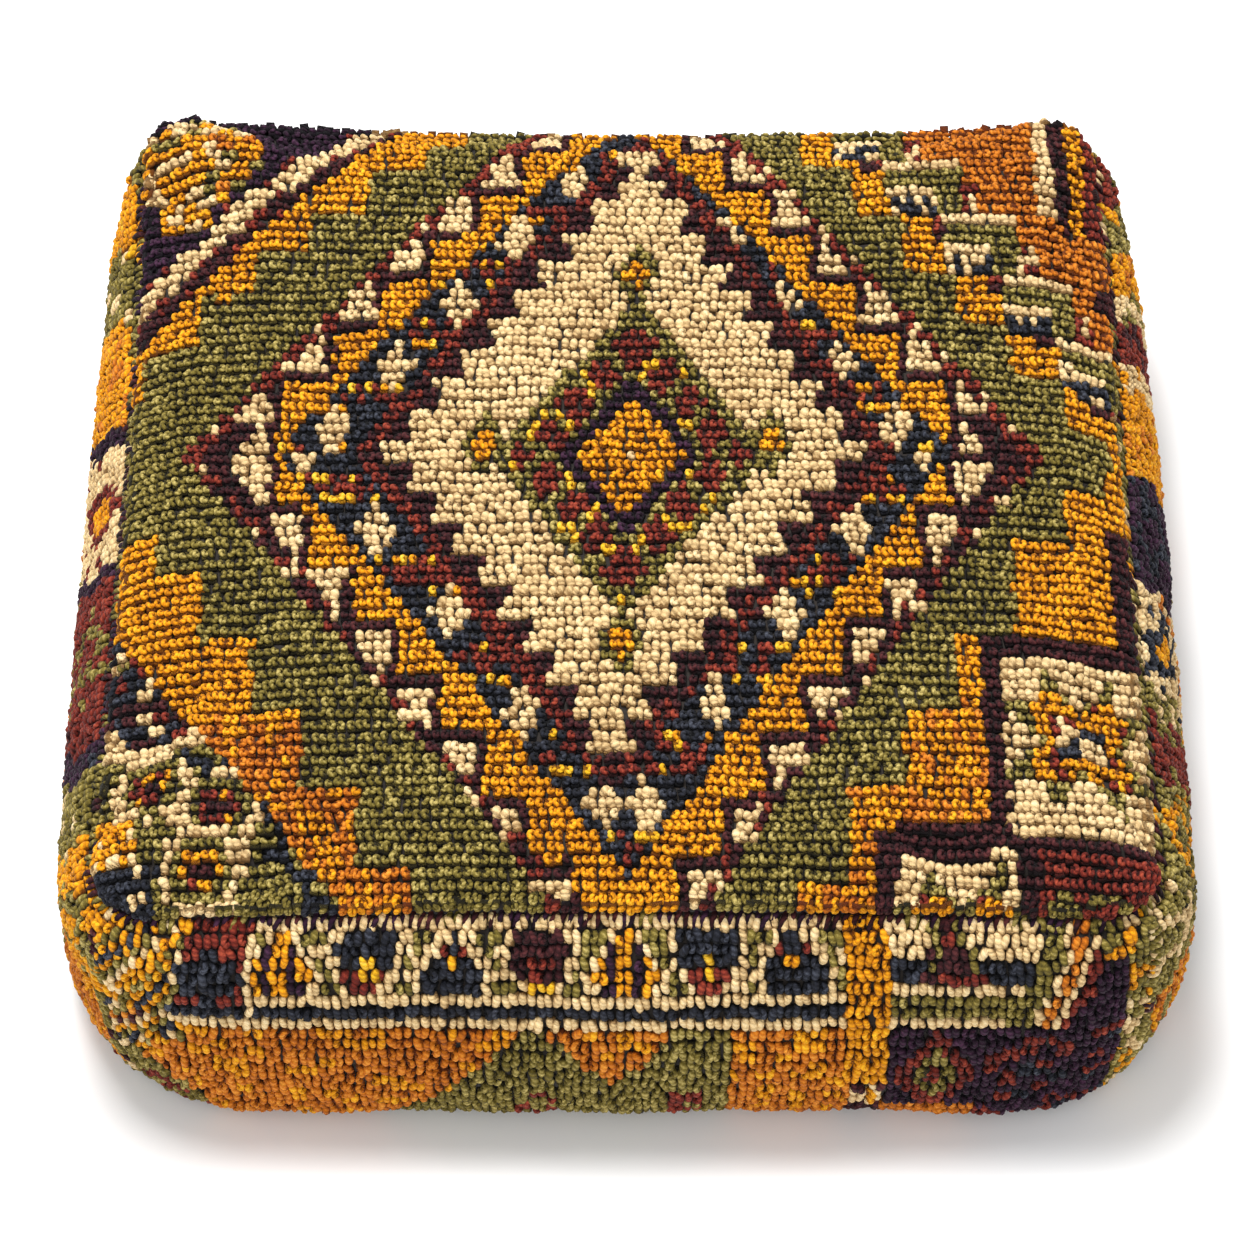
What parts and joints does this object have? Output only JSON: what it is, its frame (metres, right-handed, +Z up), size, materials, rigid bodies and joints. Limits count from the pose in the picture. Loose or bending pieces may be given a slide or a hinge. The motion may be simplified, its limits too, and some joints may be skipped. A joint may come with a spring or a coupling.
{
  "type": "floor cushion",
  "caption": "Square boxed floor cushion with a knotted wool rug cover, crowned top, swelling side bands and a zipped canvas base over a removable insert.",
  "frame": {"origin": "middle of the base, on the floor that the cushion rests on", "axes": "+Z up, +X to the right and +Y to the back when the cushion is seen from its front"},
  "size_m": [0.65, 0.65, 0.205],
  "materials": {
    "rug": "knotted wool pile",
    "canvas": "plain cotton canvas",
    "liner": "plain calico",
    "fibre": "soft fibre",
    "foam": "open-cell foam",
    "zip_tape": "woven tape",
    "zip_teeth": "satin",
    "zip_metal": "antique",
    "seam_yarn": "twisted wool yarn",
    "thread": "waxed cotton thread"
  },
  "bodies": {
    "cushion": {"top_panel": "rug", "front_band": "rug", "right_band": "rug", "back_band": "rug", "left_band": "rug", "base_front": "canvas", "base_back": "canvas", "zip_end_patches": "canvas", "liner_top": "liner", "liner_band": "liner", "liner_base": "liner", "fibre_top": "fibre", "fibre_base": "fibre", "foam_core": "foam", "zip_tape_front": "zip_tape", "zip_tape_back": "zip_tape", "zip_teeth_front": "zip_teeth", "zip_teeth_back": "zip_teeth", "zip_top_stops": "zip_metal", "zip_bottom_stop": "zip_metal", "top_seam_yarn": "seam_yarn", "corner_seam_yarn": "seam_yarn", "base_seam_thread": "thread", "zip_seam_thread": "thread"},
    "slider": {"zip_slider": "zip_metal"},
    "pull": {"zip_pull": "zip_metal"}
  },
  "joints": [
    {"name": "zip_slide", "type": "slide", "parent": "cushion", "child": "slider", "axis": [-1, 0, 0], "range_m": [0, 0.4652]},
    {"name": "pull_hinge", "type": "hinge", "parent": "slider", "child": "pull", "pos_m": [0.2326, 0, 0.00268], "axis": [0, -1, 0], "range_deg": [0, 170]}
  ]
}
